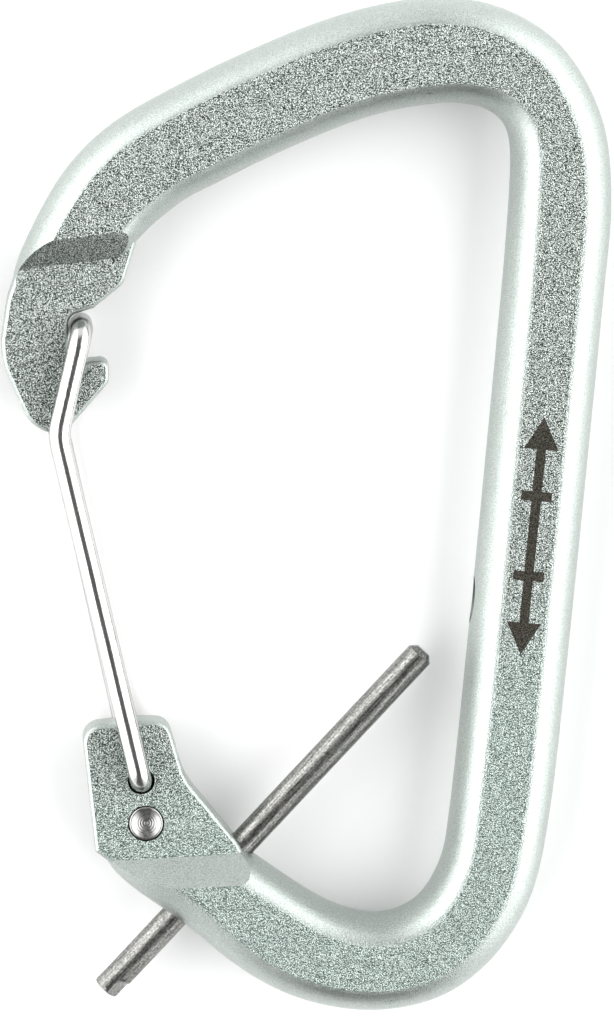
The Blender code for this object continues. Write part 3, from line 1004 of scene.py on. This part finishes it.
def wire_material():
    """Stainless spring wire: faint drawing lines, a painted highlight on its front and back and painted
    shade on its sides.
    """
    shader = Shader("polished_spring_wire")
    lines = shader.noise(
        1.0, detail=3, roughness=0.6, stretch=DRAWING_LINE_SIZE, angle=DRAWING_LINE_ANGLE
    )
    haze = shader.noise(WIRE_HAZE_SCALE, detail=3)
    painted_highlight = shader.blend(haze, *WIRE_PAINTED_HIGHLIGHT_TINTS)
    # Painted light: the colour follows which way the surface faces, bright front and back and dark at
    # the sides
    facing = shader.tree.nodes.new("ShaderNodeNewGeometry").outputs["Normal"]
    upright = shader.math("ABSOLUTE", shader.axes(facing)["Z"])
    colour = shader.blend(shader.spread(upright, *WIRE_PAINTED_LIGHT_FADE), WIRE_PAINTED_SIDE_SHADE, painted_highlight)
    rough = shader.spread(lines, *NOISE_RANGE, *WIRE_ROUGHNESS)
    normal = shader.bump(lines, DRAWING_LINE_DEPTH)
    return shader.finish(colour, rough, normal)


def head_material():
    """The same steel where it is spun over: a little rougher and darker."""
    shader = Shader("spun_steel")
    haze = shader.noise(HEAD_HAZE_SCALE, detail=4, roughness=0.6)
    colour = shader.blend(haze, *HEAD_TINTS)
    rough = shader.spread(haze, *NOISE_RANGE, *HEAD_ROUGHNESS)
    normal = shader.bump(haze, HEAD_RELIEF)
    return shader.finish(colour, rough, normal)


def pin_material():
    """Satin turned steel, darker than the wire, with lengthwise rub marks and fine pits."""
    shader = Shader("turned_pin_steel")
    angle = math.atan2(PIN_DIRECTION.y, PIN_DIRECTION.x)
    rubs = shader.noise(1.0, detail=3, roughness=0.65, stretch=RUB_SIZE, angle=angle)
    turning = shader.noise(1.0, detail=2, stretch=TURNING_SIZE, angle=angle)
    pits = shader.noise(PIT_SCALE, detail=2, roughness=0.6)
    mottle = shader.math("ADD", shader.math("MULTIPLY", rubs, 0.5), shader.math("MULTIPLY", pits, 0.5))
    colour = shader.ramp(mottle, *PIN_COLOURS)
    rough = shader.spread(rubs, *NOISE_RANGE, *PIN_ROUGHNESS)
    normal = shader.bump(turning, TURNING_DEPTH)
    normal = shader.bump(pits, PIT_DEPTH, 1.0, normal)
    return shader.finish(colour, rough, normal)


def floor_material():
    """Pale studio board with a slight sheen."""
    material = bpy.data.materials.new("studio_board")
    material.use_nodes = True
    shader = material.node_tree.nodes["Principled BSDF"]
    shader.inputs["Base Color"].default_value = (*FLOOR_COLOUR, 1.0)
    shader.inputs["Roughness"].default_value = FLOOR_ROUGHNESS
    return material


# ---------------------------------------------------------------- studio


def build_world():
    """A light tent: bright to the left and right, softer at the ends, dark straight above."""
    world = bpy.data.worlds.new("light_tent")
    bpy.context.scene.world = world
    world.use_nodes = True
    tree = world.node_tree
    background = tree.nodes["Background"]
    direction = tree.nodes.new("ShaderNodeTexCoord").outputs["Generated"]
    axes = tree.nodes.new("ShaderNodeSeparateXYZ")
    tree.links.new(direction, axes.inputs[0])

    def step(value, low, high, to_low, to_high):
        """Fade smoothly from one strength to another as a value goes from low to high."""
        node = tree.nodes.new("ShaderNodeMapRange")
        node.interpolation_type = "SMOOTHSTEP"
        for source, target in zip((low, high, to_low, to_high), node.inputs[1:5]):
            target.default_value = source
        tree.links.new(value, node.inputs[0])
        return node.outputs[0]

    def combine(operation, first, second):
        """A math node on two outputs or numbers."""
        node = tree.nodes.new("ShaderNodeMath")
        node.operation = operation
        for source, target in zip((first, second), node.inputs):
            if isinstance(source, float):
                target.default_value = source
            else:
                tree.links.new(source, target)
        return node.outputs[0]

    sideways = combine("ABSOLUTE", axes.outputs["X"], 0.0)
    sides = step(sideways, *SIDE_FADE, 0.0, SIDE_LIGHT)
    low_corners = step(axes.outputs["Y"], *LOW_CORNER_FADE, LOW_CORNER_PART, 1.0)
    sides = combine("MULTIPLY", sides, low_corners)
    top_end = step(axes.outputs["Y"], *TOP_END_FADE, 0.0, TOP_END_LIGHT)
    low_end = step(axes.outputs["Y"], *LOW_END_FADE, 0.0, LOW_END_LIGHT)
    brightness = combine("MAXIMUM", sides, combine("MAXIMUM", top_end, low_end))
    brightness = combine("MAXIMUM", brightness, OVERHEAD_LIGHT)
    tree.links.new(brightness, background.inputs["Strength"])
    background.inputs["Color"].default_value = (1.0, 1.0, 1.0, 1.0)


def build_floor():
    """A plain pale floor, just under the carabiner."""
    bm = bmesh.new()
    bmesh.ops.create_grid(bm, x_segments=1, y_segments=1, size=FLOOR_HALF_SIZE)
    floor = link_object("floor", mesh_from("floor", bm))
    floor.location.z = cad_low.z
    floor.data.materials.append(floor_material())


def build_camera():
    """A long lens almost straight above, leaning a little towards the top bend and the gate."""
    back = Vector((
        -math.sin(CAMERA_SIDE),
        math.sin(CAMERA_LEAN),
        math.cos(CAMERA_LEAN) * math.cos(CAMERA_SIDE),
    )).normalized()
    right = Vector((0, 1, 0)).cross(back).normalized()
    up = back.cross(right)
    data = bpy.data.cameras.new("camera")
    data.lens = LENS
    camera = link_object("camera", data)
    aim = Vector((0.0, 0.0, MID_Z))
    distance = VIEW_HEIGHT * LENS / data.sensor_width
    facing = Matrix((right, up, back)).transposed().to_4x4()
    camera.matrix_world = Matrix.Translation(aim + back * distance) @ facing
    data.clip_end = CLIP_END
    bpy.context.scene.camera = camera


build_camera()
build_floor()
build_world()
bpy.context.scene.view_settings.view_transform = "Standard"

wire_steel = wire_material()
spun_steel = head_material()
build_body(forged_material(), bore_shade_material())
build_front_leg(wire_steel)
build_rear_leg(wire_steel)
build_head("front_leg_spun_head", FRONT_PIVOT, -1, "gate_front_leg", spun_steel)
build_head("rear_leg_spun_head", REAR_PIVOT, 1, "gate_rear_leg", spun_steel)
build_pin(pin_material())
